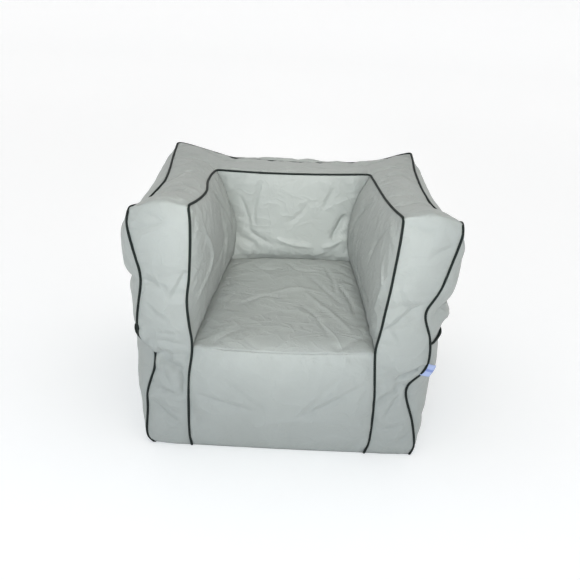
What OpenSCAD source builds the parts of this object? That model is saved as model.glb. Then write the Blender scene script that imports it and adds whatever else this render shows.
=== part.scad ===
// Armchair-shaped bean bag chair: a piped fabric cover, sewn from flat panels, over a liner
// full of beads, with a zip across the foot of its back and a flat pocket on each side.
// The origin is the middle of the footprint on the floor; the chair faces -Y and +Z is up.
// Left and right are those of someone who stands in front of the chair and looks at it.

/* [Overall] */
// Depth over everything, from the piping on the front to the piping on the back
chair_depth = 763; // [650:1:900]
// Width of the cover on the floor
base_width = 730; // [640:1:800]
// Width across the outer top edges of the arms
arm_top_width = 790; // [700:1:900]

/* [Arms] */
// Height of the inner top edge of the arms at the front
arm_inner_height = 672; // [560:1:760]
// Height of the outer top edge of the arms at the front
arm_outer_height = 660; // [560:1:760]
// Gap between the arms at their inner top edges at the front
arm_gap_front = 506; // [420:1:540]
// Gap between the arms at their inner top edges at the back rest
arm_gap_back = 488; // [420:1:520]

/* [Back rest] */
// Height of the back rest's inner top edge
back_inner_height = 636; // [520:1:740]
// Height of the back rest's outer top edge
back_outer_height = 657; // [520:1:760]
// Thickness of the back rest along its top
back_thickness_top = 200; // [150:1:260]
// Thickness of the back rest at the seat
back_thickness_seat = 190; // [150:1:260]

/* [Seat] */
// Height of the seat's front edge
seat_front_height = 305; // [240:1:380]
// Height of the seat where it meets the back rest
seat_back_height = 332; // [250:1:400]
// Width of the seat's front edge
seat_front_width = 470; // [400:1:520]
// Width of the seat where it meets the back rest
seat_back_width = 400; // [360:1:480]
// Width of the front panel along the floor
front_panel_width = 470; // [400:1:520]

/* [Fabric] */
// Thickness of the cover's panels
cover_thickness = 1.5; // [1:0.1:3]
// Thickness of the liner that holds the beads
liner_thickness = 1; // [0.6:0.1:2]
// Diameter of the piping sewn into the seams
piping_diameter = 7; // [5:0.5:10]

/* [Pockets] */
// Height of the pocket's mouth above the floor
pocket_height = 340; // [240:1:400]
// How far the slack mouth stands off the side panel
pocket_gape = 14; // [10:1:20]
// Distance from each end seam to where the mouth stands fully off
pocket_bend = 130; // [60:1:220]

/* [Zip] */
// Height of the zip's middle above the floor
zip_height = 60; // [40:1:120]
// Length of the zip from stop to stop
zip_length = 600; // [400:1:620]
// Width of each of the zip's two tapes
tape_width = 10; // [8:1:14]
// Thickness of the tapes
tape_thickness = 0.8; // [0.6:0.1:1.2]
// Width of each row of teeth
teeth_width = 3; // [2:0.1:4]
// Thickness of the rows of teeth
teeth_thickness = 2.4; // [2:0.1:3]
// Length of the slider
slider_length = 14; // [12:0.5:18]
// Length of the pull from its pin to its end
pull_length = 26; // [18:1:32]

/* [Labels] */
// Height of the lower edge of the side label above the floor
label_height = 250; // [60:1:290]
// Size of the side label along the seam
label_length = 36; // [20:1:40]
// How far the side label stands out of the seam
label_reach = 18; // [10:1:20]
// Width of the care label on the back
care_label_width = 32; // [20:1:40]
// Length of the care label on the back
care_label_length = 38; // [20:1:40]

/* [Hidden] */

// ---- Clearances and small fixed sizes ----
slide_clearance = 0.3;     // between the slider and the zip it runs on
seam_gap = 0.2;            // between pieces that are sewn into one seam
label_thickness = 0.8;
piping_sides = 16;
corner_count = 10;         // corner points on each half of the chair

// ---- The zip's sections, from its middle plane outwards ----
teeth_gap = 1.2;           // between the two rows, where the slider's post runs
post_thickness = teeth_gap - 2 * slide_clearance;
chain_half = teeth_gap / 2 + teeth_width;
plate_thickness = 1.2;
flange_width = 1.3;
plate_half = chain_half + slide_clearance + flange_width;
plate_bottom = teeth_thickness / 2 + slide_clearance;
plate_top = plate_bottom + plate_thickness;
pin_radius = 0.8;
pin_room = 0.45;           // round the pull's pin, under the slider's bridge
pin_height = plate_top + pin_room + pin_radius;
bridge_under = pin_height + pin_radius + pin_room;
bridge_thickness = 1;
bridge_top = bridge_under + bridge_thickness;
bridge_half_length = 3.5;
bridge_leg = 1.5;
bridge_half_width = 1.2;
stop_length = 5;
zip_recess = 3.2;          // depth of the channel that the zip presses into the beads

// ---- Planes of the cover ----
piping_radius = piping_diameter / 2;
edge_offset = piping_radius / sqrt(2);
zip_inset = cover_thickness / 2;
front_proud = piping_diameter;
back_proud = max(edge_offset + piping_radius, bridge_top - zip_inset);
front_y = -chair_depth / 2 + front_proud;
back_y = chair_depth / 2 - back_proud;
back_inner_y = back_y - back_thickness_top;
back_seat_y = back_y - back_thickness_seat;
zip_y = back_y - zip_inset;
side_slope = (arm_top_width - base_width) / 2 / arm_outer_height;

function side_x(z) = base_width / 2 + side_slope * z;
function left(p) = [-p[0], p[1], p[2]];
function reversed(list) = [for (i = [len(list) - 1:-1:0]) list[i]];

// Height of the arm's outer top edge at a place between the front and the back.
function outer_edge_z(y) =
    arm_outer_height + (back_outer_height - arm_outer_height) * (y - front_y) / (back_y - front_y);

// ---- Corner points of the right half, each moved d into the beads ----
function right_points(d) = [
    [side_x(0) - d, front_y + d, d],
    [front_panel_width / 2, front_y + d, d],
    [side_x(0) - d, back_y - d, d],
    [seat_front_width / 2 + d, front_y + d, seat_front_height - d],
    [seat_back_width / 2 + d, back_seat_y + d, seat_back_height - d],
    [arm_gap_front / 2 + d, front_y + d, arm_inner_height - d],
    [side_x(arm_outer_height) - d, front_y + d, arm_outer_height - d],
    [side_x(outer_edge_z(back_inner_y)) - d, back_inner_y, outer_edge_z(back_inner_y) - d],
    [arm_gap_back / 2 + d, back_inner_y + d, back_inner_height - d],
    [side_x(back_outer_height) - d, back_y - d, back_outer_height - d],
];
function body_points(d) = concat(right_points(d), [for (p = right_points(d)) left(p)]);

// The places of those points in the list; L added to one gives the same point on the left.
BASE_FRONT = 0;
BASE_INNER = 1;
BASE_BACK = 2;
SEAT_FRONT = 3;
SEAT_BACK = 4;
ARM_INNER = 5;
ARM_OUTER = 6;
ARM_END = 7;
BACK_INNER = 8;
BACK_OUTER = 9;
L = corner_count;

// The same facet or outline on the left side, still turned outwards.
function on_left(loop) = reversed([for (i = loop) (i + L) % (2 * L)]);
function all_left(facets) = [for (f = facets) on_left(f)];

// ---- Outlines and flat facets of the panels, anticlockwise seen from outside ----
FRONT = [BASE_INNER + L, BASE_INNER, SEAT_FRONT, SEAT_FRONT + L];
SEAT = [SEAT_FRONT + L, SEAT_FRONT, SEAT_BACK, SEAT_BACK + L];
INNER_BACK = [SEAT_BACK + L, SEAT_BACK, BACK_INNER, BACK_INNER + L];
INNER_ARM = [SEAT_BACK, SEAT_FRONT, ARM_INNER, BACK_INNER];
INNER_ARM_FACETS = [
    [SEAT_BACK, SEAT_FRONT, ARM_INNER],
    [SEAT_BACK, ARM_INNER, BACK_INNER],
];
ARM_BAND = [BASE_INNER, BASE_FRONT, ARM_OUTER, ARM_END, BACK_INNER, ARM_INNER, SEAT_FRONT];
ARM_BAND_FACETS = [
    [BASE_INNER, BASE_FRONT, ARM_OUTER, ARM_INNER, SEAT_FRONT],
    [ARM_INNER, ARM_OUTER, ARM_END],
    [ARM_INNER, ARM_END, BACK_INNER],
];
BACK_TOP = [BACK_INNER + L, BACK_INNER, ARM_END, BACK_OUTER, BACK_OUTER + L, ARM_END + L];
BACK_TOP_FACETS = [
    [BACK_INNER + L, BACK_INNER, BACK_OUTER, BACK_OUTER + L],
    [BACK_INNER, ARM_END, BACK_OUTER],
    [BACK_INNER + L, BACK_OUTER + L, ARM_END + L],
];
SIDE = [BASE_FRONT, BASE_BACK, BACK_OUTER, ARM_END, ARM_OUTER];
SIDE_FACETS = [
    [BASE_BACK, BACK_OUTER, ARM_END],
    [BASE_BACK, ARM_END, ARM_OUTER],
    [BASE_BACK, ARM_OUTER, BASE_FRONT],
];
OUTER_BACK = [BASE_BACK, BASE_BACK + L, BACK_OUTER + L, BACK_OUTER];
BASE = [BASE_INNER, BASE_INNER + L, BASE_FRONT + L, BASE_BACK + L, BASE_BACK, BASE_FRONT];
BASE_FACETS = [
    [BASE_INNER, BASE_INNER + L, BASE_BACK + L, BASE_BACK],
    [BASE_INNER + L, BASE_FRONT + L, BASE_BACK + L],
    [BASE_INNER, BASE_BACK, BASE_FRONT],
];

BODY_FACETS = concat(
    [FRONT, SEAT, INNER_BACK, OUTER_BACK], BASE_FACETS,
    INNER_ARM_FACETS, all_left(INNER_ARM_FACETS),
    ARM_BAND_FACETS, all_left(ARM_BAND_FACETS),
    BACK_TOP_FACETS,
    SIDE_FACETS, all_left(SIDE_FACETS)
);

// The mitred face on a panel's edge from a to b; the panel beside it has the same face.
function mitre(a, b, n) =
    a < b ? [[a, b, b + n], [a, b + n, a + n]] : [[a, b, a + n], [b, b + n, a + n]];

// A panel of the cover: its outline on the outer skin, carried cover_thickness inwards.
module panel(outline, facets) {
    n = 2 * corner_count;
    polyhedron(
        points = concat(body_points(0), body_points(cover_thickness)),
        faces = concat(
            [for (f = facets) reversed(f)],
            [for (f = facets) [for (i = f) i + n]],
            [for (i = [0:len(outline) - 1])
                each mitre(outline[i], outline[(i + 1) % len(outline)], n)]
        )
    );
}

// The whole chair as one closed shape, d inside the cover's outer skin.
module body(d) {
    polyhedron(points = body_points(d), faces = [for (f = BODY_FACETS) reversed(f)]);
}

// A box that spans the chair's width and depth, between two heights.
module level(low, high) {
    translate([-chair_depth, -chair_depth, low])
        cube([2 * chair_depth, 2 * chair_depth, high - low]);
}

// ---- Piping: a round tube along a route, mitred where the route turns ----
function unit(v) = v / norm(v);
function first_ring(at, along, radius) =
    let (side = unit(cross(along, abs(along[2]) > 0.9 ? [1, 0, 0] : [0, 0, 1])),
         up = cross(side, along))
    [for (i = [0:piping_sides - 1])
        at + radius * (cos(i * 360 / piping_sides) * side + sin(i * 360 / piping_sides) * up)];
function mitre_normal(route, i) =
    i == len(route) - 1
        ? unit(route[i] - route[i - 1])
        : unit(unit(route[i] - route[i - 1]) + unit(route[i + 1] - route[i]));
function ring(route, i, radius) =
    i == 0
        ? first_ring(route[0], unit(route[1] - route[0]), radius)
        : let (along = unit(route[i] - route[i - 1]), cut = mitre_normal(route, i))
          [for (p = ring(route, i - 1, radius))
              p + along * ((route[i] - p) * cut) / (along * cut)];

module tube(route, radius) {
    last = len(route) - 1;
    n = piping_sides;
    polyhedron(
        points = [for (i = [0:last]) each ring(route, i, radius)],
        faces = concat(
            [[for (j = [0:n - 1]) j]],
            [[for (j = [n - 1:-1:0]) last * n + j]],
            [for (i = [0:last - 1], j = [0:n - 1])
                let (k = (j + 1) % n) [i * n + j, (i + 1) * n + j, (i + 1) * n + k, i * n + k]]
        )
    );
}

// Where the piping's middle runs beside a corner point, on its outer side.
function beside(i) = right_points(-edge_offset)[i];
function inner_beside(i) =
    let (p = right_points(-edge_offset)[i]) [p[0], front_y - piping_radius, p[2]];

// ---- Cover ----
module front_panel() {
    color("#afb9b8") panel(FRONT, [FRONT]);
}

module seat_panel() {
    color("#a6aba6") panel(SEAT, [SEAT]);
}

module inner_back_panel() {
    color("#b8bcb9") panel(INNER_BACK, [INNER_BACK]);
}

module inner_arm_panel_left() {
    color("#999e96") panel(on_left(INNER_ARM), all_left(INNER_ARM_FACETS));
}

module inner_arm_panel_right() {
    color("#999e96") panel(INNER_ARM, INNER_ARM_FACETS);
}

module arm_band_left() {
    color("#b4bcbc") panel(on_left(ARM_BAND), all_left(ARM_BAND_FACETS));
}

module arm_band_right() {
    color("#b4bcbc") panel(ARM_BAND, ARM_BAND_FACETS);
}

module back_top_band() {
    color("#9ea59d") panel(BACK_TOP, BACK_TOP_FACETS);
}

module side_panel_left() {
    color("#91999b") panel(on_left(SIDE), all_left(SIDE_FACETS));
}

module side_panel_right() {
    color("#91999b") panel(SIDE, SIDE_FACETS);
}

// The window that the zip fills between the two back panels.
module zip_window() {
    half = chain_half + tape_width;
    translate([-zip_length / 2, back_y - chair_depth / 4, zip_height - half])
        cube([zip_length, chair_depth / 2, 2 * half]);
}

module outer_back_panel() {
    color("#a6aaa6") difference() {
        intersection() {
            panel(OUTER_BACK, [OUTER_BACK]);
            level(zip_height, 2 * back_outer_height);
        }
        zip_window();
    }
}

module lower_back_panel() {
    color("#a6aaa6") difference() {
        intersection() {
            panel(OUTER_BACK, [OUTER_BACK]);
            level(-zip_height, zip_height);
        }
        zip_window();
    }
}

module base_panel() {
    color("#7d8381") panel(BASE, BASE_FACETS);
}

// ---- Side pockets ----
pocket_front_y = front_y + piping_radius - edge_offset + label_thickness + 3 * seam_gap;
pocket_back_y = back_y - (piping_radius - edge_offset) - seam_gap;
pocket_stations = [
    [pocket_front_y, 0],
    [pocket_front_y + pocket_bend, pocket_gape],
    [pocket_back_y - pocket_bend, pocket_gape],
    [pocket_back_y, 0],
];

// The right pocket's patch: flat on the side panel at its foot and ends, slack at its mouth.
module pocket_patch() {
    n = 4;
    polyhedron(
        points = [for (s = pocket_stations) each [
            [side_x(0), s[0], 0],
            [side_x(0) + cover_thickness, s[0], 0],
            [side_x(pocket_height) + s[1], s[0], pocket_height],
            [side_x(pocket_height) + s[1] + cover_thickness, s[0], pocket_height],
        ]],
        faces = concat(
            [[0, 1, 3, 2]],
            [[3 * n, 3 * n + 2, 3 * n + 3, 3 * n + 1]],
            [for (i = [0:2]) each [
                [i * n, i * n + 2, (i + 1) * n],
                [i * n + 2, (i + 1) * n + 2, (i + 1) * n],
                [i * n + 1, (i + 1) * n + 1, i * n + 3],
                [i * n + 3, (i + 1) * n + 1, (i + 1) * n + 3],
                [i * n, (i + 1) * n, (i + 1) * n + 1, i * n + 1],
                [i * n + 2, i * n + 3, (i + 1) * n + 3, (i + 1) * n + 2],
            ]]
        )
    );
}

// The piping lies on the mouth's edge, and on the side panel where the pocket is sewn down.
module pocket_mouth_piping() {
    z = pocket_height + piping_radius;
    ends = piping_radius + seam_gap;
    tube([for (s = pocket_stations)
        [side_x(z) + max(ends, s[1] + cover_thickness / 2), s[0], z]], piping_radius);
}

module side_pocket_left() {
    color("#8a9294") mirror([1, 0, 0]) pocket_patch();
}

module side_pocket_right() {
    color("#8a9294") pocket_patch();
}

// ---- Piping ----
module inner_piping() {
    start = [front_panel_width / 2, front_y - piping_radius, piping_radius];
    half = [
        start,
        [seat_front_width / 2, front_y - piping_radius, seat_front_height],
        inner_beside(ARM_INNER),
        beside(BACK_INNER),
    ];
    color("#141c18") tube(concat(half, reversed([for (p = half) left(p)])), piping_radius);
}

module outer_piping() {
    start = beside(BASE_FRONT);
    half = [
        [start[0], start[1], piping_radius],
        beside(ARM_OUTER),
        beside(BACK_OUTER),
    ];
    color("#141c18") tube(concat(half, reversed([for (p = half) left(p)])), piping_radius);
}

module pocket_piping_left() {
    color("#141c18") mirror([1, 0, 0]) pocket_mouth_piping();
}

module pocket_piping_right() {
    color("#141c18") pocket_mouth_piping();
}

// ---- Zip ----
teeth_start = -zip_length / 2 + stop_length;
teeth_end = zip_length / 2 - stop_length;

// A bar of the zip: x from and to, half its thickness, and z from and to above its middle.
module zip_bar(from, to, half_thickness, low, high) {
    translate([from, zip_y - half_thickness, zip_height + low])
        cube([to - from, 2 * half_thickness, high - low]);
}

module zip_tape_upper() {
    color("#20282a") zip_bar(-zip_length / 2, zip_length / 2, tape_thickness / 2,
        chain_half, chain_half + tape_width);
}

module zip_tape_lower() {
    color("#20282a") zip_bar(-zip_length / 2, zip_length / 2, tape_thickness / 2,
        -chain_half - tape_width, -chain_half);
}

module zip_teeth_upper() {
    color("#161a1b") zip_bar(teeth_start, teeth_end, teeth_thickness / 2,
        teeth_gap / 2, chain_half);
}

module zip_teeth_lower() {
    color("#161a1b") zip_bar(teeth_start, teeth_end, teeth_thickness / 2,
        -chain_half, -teeth_gap / 2);
}

module zip_top_stops() {
    color("#8e9294") for (low = [teeth_gap / 2, -chain_half])
        zip_bar(teeth_end, zip_length / 2, teeth_thickness / 2 + slide_clearance,
            low, low + teeth_width);
}

module zip_bottom_stop() {
    color("#8e9294") zip_bar(-zip_length / 2, teeth_start,
        teeth_thickness / 2 + slide_clearance, -chain_half, chain_half);
}

// The slider stands closed against the top stops.
slider_x = teeth_end - slide_clearance - slider_length / 2;

// Outline of the slider's plates, shouldered at the end that closes the rows of teeth.
slider_outline = [
    [-slider_length / 2, -plate_half + 1], [-slider_length / 2 + 1, -plate_half],
    [slider_length / 6, -plate_half], [slider_length / 2, -plate_half * 0.6],
    [slider_length / 2, plate_half * 0.6], [slider_length / 6, plate_half],
    [-slider_length / 2 + 1, plate_half], [-slider_length / 2, plate_half - 1],
];

module slider_plate(low) {
    translate([0, low + plate_thickness, 0]) rotate([90, 0, 0])
        linear_extrude(plate_thickness) polygon(slider_outline);
}

module slider_flanges(side) {
    tape_room = tape_thickness / 2 + slide_clearance;
    low = side > 0 ? tape_room : -plate_bottom;
    for (z = [-plate_half, plate_half - flange_width])
        translate([-slider_length / 2 + 1, low, z])
            cube([slider_length * 2 / 3 - 1, plate_bottom - tape_room, flange_width]);
}

module zip_slider() {
    color("#8e9294") translate([slider_x, zip_y, zip_height]) {
        slider_plate(plate_bottom);
        slider_plate(-plate_top);
        slider_flanges(1);
        slider_flanges(-1);
        translate([slider_length / 6, -plate_top, -post_thickness / 2])
            cube([slider_length / 4, 2 * plate_top, post_thickness]);
        for (x = [-bridge_half_length, bridge_half_length - bridge_leg])
            translate([x, plate_bottom, -bridge_half_width])
                cube([bridge_leg, bridge_top - plate_bottom, 2 * bridge_half_width]);
        translate([-bridge_half_length, bridge_under, -bridge_half_width])
            cube([2 * bridge_half_length, bridge_thickness, 2 * bridge_half_width]);
    }
}

// The pull lies along the closed teeth, held by a pin under the slider's bridge.
module zip_pull() {
    arm_gap = 2 * (bridge_half_width + slide_clearance);
    arm_width = 1.4;
    eye_reach = 4.8;
    tab_half = 4.2;
    thickness = 2 * pin_radius;
    color("#8e9294") translate([slider_x, zip_y + pin_height, zip_height]) {
        cylinder(r = pin_radius, h = arm_gap + 2 * arm_width, center = true, $fn = 48);
        for (z = [-arm_gap / 2 - arm_width, arm_gap / 2])
            translate([-eye_reach, -pin_radius, z]) cube([eye_reach, thickness, arm_width]);
        translate([-pull_length + tab_half, -pin_radius, -tab_half])
            cube([pull_length - tab_half - eye_reach, thickness, 2 * tab_half]);
        translate([-pull_length + tab_half, pin_radius, 0]) rotate([90, 0, 0])
            cylinder(r = tab_half, h = thickness, $fn = 64);
    }
}

// ---- Labels ----
// A folded ribbon in the right outer seam, just behind the piping.
module side_label() {
    low_x = side_x(label_height) + seam_gap;
    high_x = side_x(label_height + label_length) + seam_gap;
    back = front_y + piping_radius - edge_offset + seam_gap + label_thickness;
    color("#b9c6df") translate([0, back, 0]) rotate([90, 0, 0]) linear_extrude(label_thickness)
        polygon([
            [low_x, label_height],
            [low_x + label_reach, label_height],
            [high_x + label_reach, label_height + label_length],
            [high_x, label_height + label_length],
        ]);
}

// Blank, sewn under the lower edge of the zip at the chair's left.
module care_label() {
    top = zip_height - chain_half - tape_width;
    length = min(care_label_length, top - 2 * cover_thickness);
    color("#e8e8e4") translate([-zip_length / 3, back_y, top - length])
        cube([care_label_width, label_thickness, length]);
}

// ---- Inside ----
// The channel that the zip and its slider press into the liner, and d more all round.
module zip_channel(d) {
    half = plate_half + 3 + d;
    depth = zip_recess + d;
    translate([-zip_length / 2 - d, back_y - cover_thickness - depth, zip_height - half])
        cube([zip_length + 2 * d, depth + cover_thickness, 2 * half]);
}

module liner_outside() {
    difference() {
        body(cover_thickness);
        zip_channel(0);
    }
}

module liner_inside() {
    difference() {
        body(cover_thickness + liner_thickness);
        zip_channel(liner_thickness);
    }
}

// The liner's walls and top, open at the foot, and the base panel that closes them.
liner_foot = cover_thickness + liner_thickness;

module liner_walls() {
    color("#f0f0ec") difference() {
        intersection() {
            liner_outside();
            level(liner_foot, 2 * arm_inner_height);
        }
        liner_inside();
    }
}

module liner_base() {
    color("#f0f0ec") intersection() {
        liner_outside();
        level(0, liner_foot);
    }
}

module bead_fill() {
    color("#fbfbf8") liner_inside();
}

front_panel();
seat_panel();
inner_back_panel();
inner_arm_panel_left();
inner_arm_panel_right();
arm_band_left();
arm_band_right();
back_top_band();
side_panel_left();
side_panel_right();
outer_back_panel();
lower_back_panel();
base_panel();
side_pocket_left();
side_pocket_right();
inner_piping();
outer_piping();
pocket_piping_left();
pocket_piping_right();
zip_tape_upper();
zip_tape_lower();
zip_teeth_upper();
zip_teeth_lower();
zip_top_stops();
zip_bottom_stop();
zip_slider();
zip_pull();
side_label();
care_label();
liner_walls();
liner_base();
bead_fill();
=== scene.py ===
import math

import bmesh
import bpy
import numpy as np
from mathutils import Matrix, Vector, noise
from mathutils.bvhtree import BVHTree
from mathutils.kdtree import KDTree


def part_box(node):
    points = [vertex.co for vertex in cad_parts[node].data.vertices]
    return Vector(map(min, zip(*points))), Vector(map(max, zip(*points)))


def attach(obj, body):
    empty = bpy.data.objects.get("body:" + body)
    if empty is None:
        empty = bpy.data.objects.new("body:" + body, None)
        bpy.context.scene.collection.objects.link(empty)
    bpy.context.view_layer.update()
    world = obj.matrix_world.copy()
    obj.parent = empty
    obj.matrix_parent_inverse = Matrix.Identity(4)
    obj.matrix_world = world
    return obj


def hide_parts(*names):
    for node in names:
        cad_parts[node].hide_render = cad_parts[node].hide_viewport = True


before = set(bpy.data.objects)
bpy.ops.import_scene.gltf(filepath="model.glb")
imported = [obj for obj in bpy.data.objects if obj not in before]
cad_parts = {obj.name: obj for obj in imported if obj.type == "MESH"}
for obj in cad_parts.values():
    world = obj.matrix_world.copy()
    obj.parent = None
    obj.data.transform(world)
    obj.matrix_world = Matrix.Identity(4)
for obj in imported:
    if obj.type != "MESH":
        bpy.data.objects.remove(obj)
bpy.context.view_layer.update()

# ---- Sizes, in metres -------------------------------------------------------------------
PIPING_RADIUS, PIPING_LIFT = .0033, .0016
CLOTH_THICKNESS = .0009
SEAM_ALLOWANCE = .007
POCKET_SIZE, POCKET_LIFT = (.76, .34), .0018
LABEL_SIZE = .024, .036
LABEL_FOOT = .252
RIBBON_THICKNESS = .0008
LINER_DEPTH, LINER_THICKNESS, LINER_HEIGHT = .005, .0007, .80
BEAD_DEPTH = .010
ZIP_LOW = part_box("zip_tape_lower")[0]
ZIP_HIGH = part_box("zip_tape_upper")[1]
BACK_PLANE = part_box("outer_back_panel")[1][1]

# Cells of the cover's cage: across an arm, across the seat, from the front to the back rest,
# through the back rest, below the seat's edge and above it. Then a pocket's own cells.
ARM, SEAT, REACH, REST, LOW, HIGH = 14, 44, 52, 20, 29, 35
POCKET_ACROSS, POCKET_UP = 72, 34


def show(name, mesh):
    """A new piece of the scene with this mesh."""
    piece = bpy.data.objects.new(name, mesh)
    bpy.context.scene.collection.objects.link(piece)
    return piece


def positions(mesh):
    flat = np.zeros(len(mesh.vertices) * 3, np.float32)
    mesh.vertices.foreach_get("co", flat)
    return flat.reshape(-1, 3).astype(float)


def normals(mesh):
    return np.array([n.vector[:] for n in mesh.vertex_normals])


def set_positions(mesh, points):
    mesh.vertices.foreach_set("co", points.astype(np.float32).ravel())
    mesh.update()


def nearest(points):
    """A finder of the closest of these points."""
    finder = KDTree(len(points))
    for number, point in enumerate(points):
        finder.insert(point, number)
    finder.balance()
    return finder


def finished(piece):
    """A copy of the piece's mesh with its modifiers applied, after which the piece goes."""
    graph = bpy.context.evaluated_depsgraph_get()
    mesh = bpy.data.meshes.new_from_object(
        piece.evaluated_get(graph), preserve_all_data_layers=True, depsgraph=graph)
    bpy.data.objects.remove(piece)
    return mesh


# ---- Seams ------------------------------------------------------------------------------
# Each seam is a list of stretches, and each stretch a list of points and its number of cells.
# The cover has slumped a little, so its left and right seams differ.
def seam(*stretches):
    """Evenly spaced places along a smooth line through the points of all its stretches."""
    points = [Vector(p) for p in stretches[0][0]]
    ends = [len(points) - 1]
    for more, _ in stretches[1:]:
        points += [Vector(p) for p in more]
        ends.append(len(points) - 1)
    padded = [points[0] * 2 - points[1]] + points + [points[-1] * 2 - points[-2]]
    steps = 24
    dense, marks = [], [0]
    for i in range(len(points) - 1):
        a, b, c, d = padded[i:i + 4]
        for k in range(steps):
            t = k / steps
            dense.append(0.5 * (2 * b + (c - a) * t + (2 * a - 5 * b + 4 * c - d) * t * t
                                + (3 * b - a - 3 * c + d) * t ** 3))
        if i + 1 in ends:
            marks.append(len(dense))
    dense.append(points[-1])
    line = np.array([p[:] for p in dense])
    places = []
    for (start, stop), (_, cells) in zip(zip(marks, marks[1:]), stretches):
        part = line[start:stop + 1]
        run = np.concatenate([[0], np.cumsum(np.linalg.norm(np.diff(part, axis=0), axis=1))])
        want = np.linspace(0, run[-1], cells + 1)
        part = np.stack([np.interp(want, run, part[:, k]) for k in range(3)], axis=1)
        places += list(part if not places else part[1:])
    return [Vector(p) for p in places]


outer_front_left = seam(
    ([(-.342, -.374, .000), (-.359, -.381, .014), (-.364, -.382, .040), (-.359, -.381, .110),
      (-.359, -.379, .160), (-.348, -.373, .205), (-.336, -.364, .240), (-.336, -.350, .275),
      (-.354, -.358, .308)], LOW),
    ([(-.379, -.374, .350), (-.376, -.378, .402), (-.365, -.380, .485), (-.376, -.381, .540),
      (-.389, -.381, .595), (-.394, -.380, .635), (-.388, -.372, .663)], HIGH))
outer_front_right = seam(
    ([(.353, -.376, .000), (.363, -.381, .030), (.348, -.380, .108), (.322, -.374, .183),
      (.323, -.371, .218), (.359, -.374, .259), (.367, -.378, .303)], LOW),
    ([(.361, -.378, .360), (.339, -.375, .424), (.352, -.377, .460), (.369, -.380, .500),
      (.386, -.381, .577), (.399, -.380, .640), (.395, -.372, .670)], HIGH))
inner_front_left = seam(
    ([(-.242, -.380, .000), (-.248, -.385, .040), (-.250, -.384, .140), (-.249, -.384, .220),
      (-.240, -.380, .302)], LOW),
    ([(-.248, -.379, .370), (-.253, -.381, .434), (-.246, -.382, .500), (-.243, -.383, .630),
      (-.250, -.375, .675)], HIGH))
inner_front_right = seam(
    ([(.228, -.380, .000), (.238, -.385, .043), (.238, -.384, .174), (.226, -.380, .310)], LOW),
    ([(.231, -.380, .362), (.244, -.382, .490), (.252, -.382, .610), (.255, -.375, .673)], HIGH))
seat_front = seam(
    ([inner_front_left[LOW], (0, -.387, .303), inner_front_right[LOW]], SEAT))
fold_left = seam(([outer_front_left[-1], (-.32, -.378, .680), inner_front_left[-1]], ARM))
fold_right = seam(([inner_front_right[-1], (.325, -.378, .684), outer_front_right[-1]], ARM))

inner_top_left = seam(
    ([inner_front_left[-1], (-.237, -.290, .664), (-.231, -.160, .650), (-.243, -.030, .640),
      (-.245, .090, .631), (-.240, .172, .624)], REACH))
inner_top_right = seam(
    ([inner_front_right[-1], (.247, -.260, .660), (.241, -.120, .650), (.238, .030, .643),
      (.236, .172, .636)], REACH))
inner_back_top = seam(
    ([inner_top_left[-1], (-.100, .166, .624), (.060, .166, .628), inner_top_right[-1]], SEAT))
outer_top_left = seam(
    ([outer_front_left[-1], (-.386, -.335, .655), (-.376, -.255, .640), (-.365, -.170, .644),
      (-.356, -.080, .650), (-.364, .050, .651), (-.376, .172, .652)], REACH),
    ([(-.386, .290, .655), (-.392, .374, .658)], REST))
outer_top_right = seam(
    ([outer_front_right[-1], (.399, -.325, .655), (.386, -.250, .640), (.366, -.160, .645),
      (.361, -.090, .651), (.363, .000, .652), (.374, .172, .655)], REACH),
    ([(.386, .290, .662), (.392, .374, .668)], REST))
outer_back_top = seam(
    ([outer_top_left[-1], (-.365, .373, .656), (-.290, .372, .638), (-.240, .371, .626)], ARM),
    ([(-.190, .370, .617), (.000, .369, .614), (.150, .369, .619), (.240, .370, .629)], SEAT),
    ([(.300, .371, .640), (.350, .373, .657), outer_top_right[-1]], ARM))
band_left = seam(([outer_top_left[REACH], (-.310, .180, .655), inner_top_left[-1]], ARM))
band_right = seam(([inner_top_right[-1], (.310, .180, .662), outer_top_right[REACH]], ARM))

seat_side_left = seam(
    ([inner_front_left[LOW], (-.232, -.250, .308), (-.214, -.050, .318), (-.187, .182, .330)],
     REACH))
seat_side_right = seam(
    ([inner_front_right[LOW], (.222, -.200, .320), (.212, .000, .332), (.200, .182, .343)],
     REACH))
seat_back = seam(([seat_side_left[-1], (0, .188, .336), seat_side_right[-1]], SEAT))
back_corner_left = seam(
    ([seat_side_left[-1], (-.180, .184, .400), (-.184, .182, .470), (-.212, .178, .550),
      inner_top_left[-1]], HIGH))
back_corner_right = seam(
    ([seat_side_right[-1], (.196, .184, .410), (.192, .182, .470), (.208, .178, .550),
      inner_top_right[-1]], HIGH))

outer_back_left = seam(
    ([(-.356, .366, .000), (-.366, BACK_PLANE, .030), (-.369, BACK_PLANE, .110),
      (-.368, .377, .200), (-.372, .379, .300)], LOW),
    ([(-.380, .380, .420), (-.386, .380, .560), outer_top_left[-1]], HIGH))
outer_back_right = seam(
    ([(.356, .366, .000), (.366, BACK_PLANE, .030), (.369, BACK_PLANE, .110),
      (.372, .377, .200), (.370, .379, .300)], LOW),
    ([(.376, .380, .420), (.386, .380, .560), outer_top_right[-1]], HIGH))
floor_front = seam(
    ([outer_front_left[0], (-.290, -.380, 0), inner_front_left[0]], ARM),
    ([(0, -.382, 0), inner_front_right[0]], SEAT),
    ([(.290, -.380, 0), outer_front_right[0]], ARM))
floor_left = seam(
    ([outer_front_left[0], (-.352, -.200, 0), (-.356, .000, 0), (-.357, .172, 0)], REACH),
    ([outer_back_left[0]], REST))
floor_right = seam(
    ([outer_front_right[0], (.356, -.200, 0), (.357, .000, 0), (.357, .172, 0)], REACH),
    ([outer_back_right[0]], REST))
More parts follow.
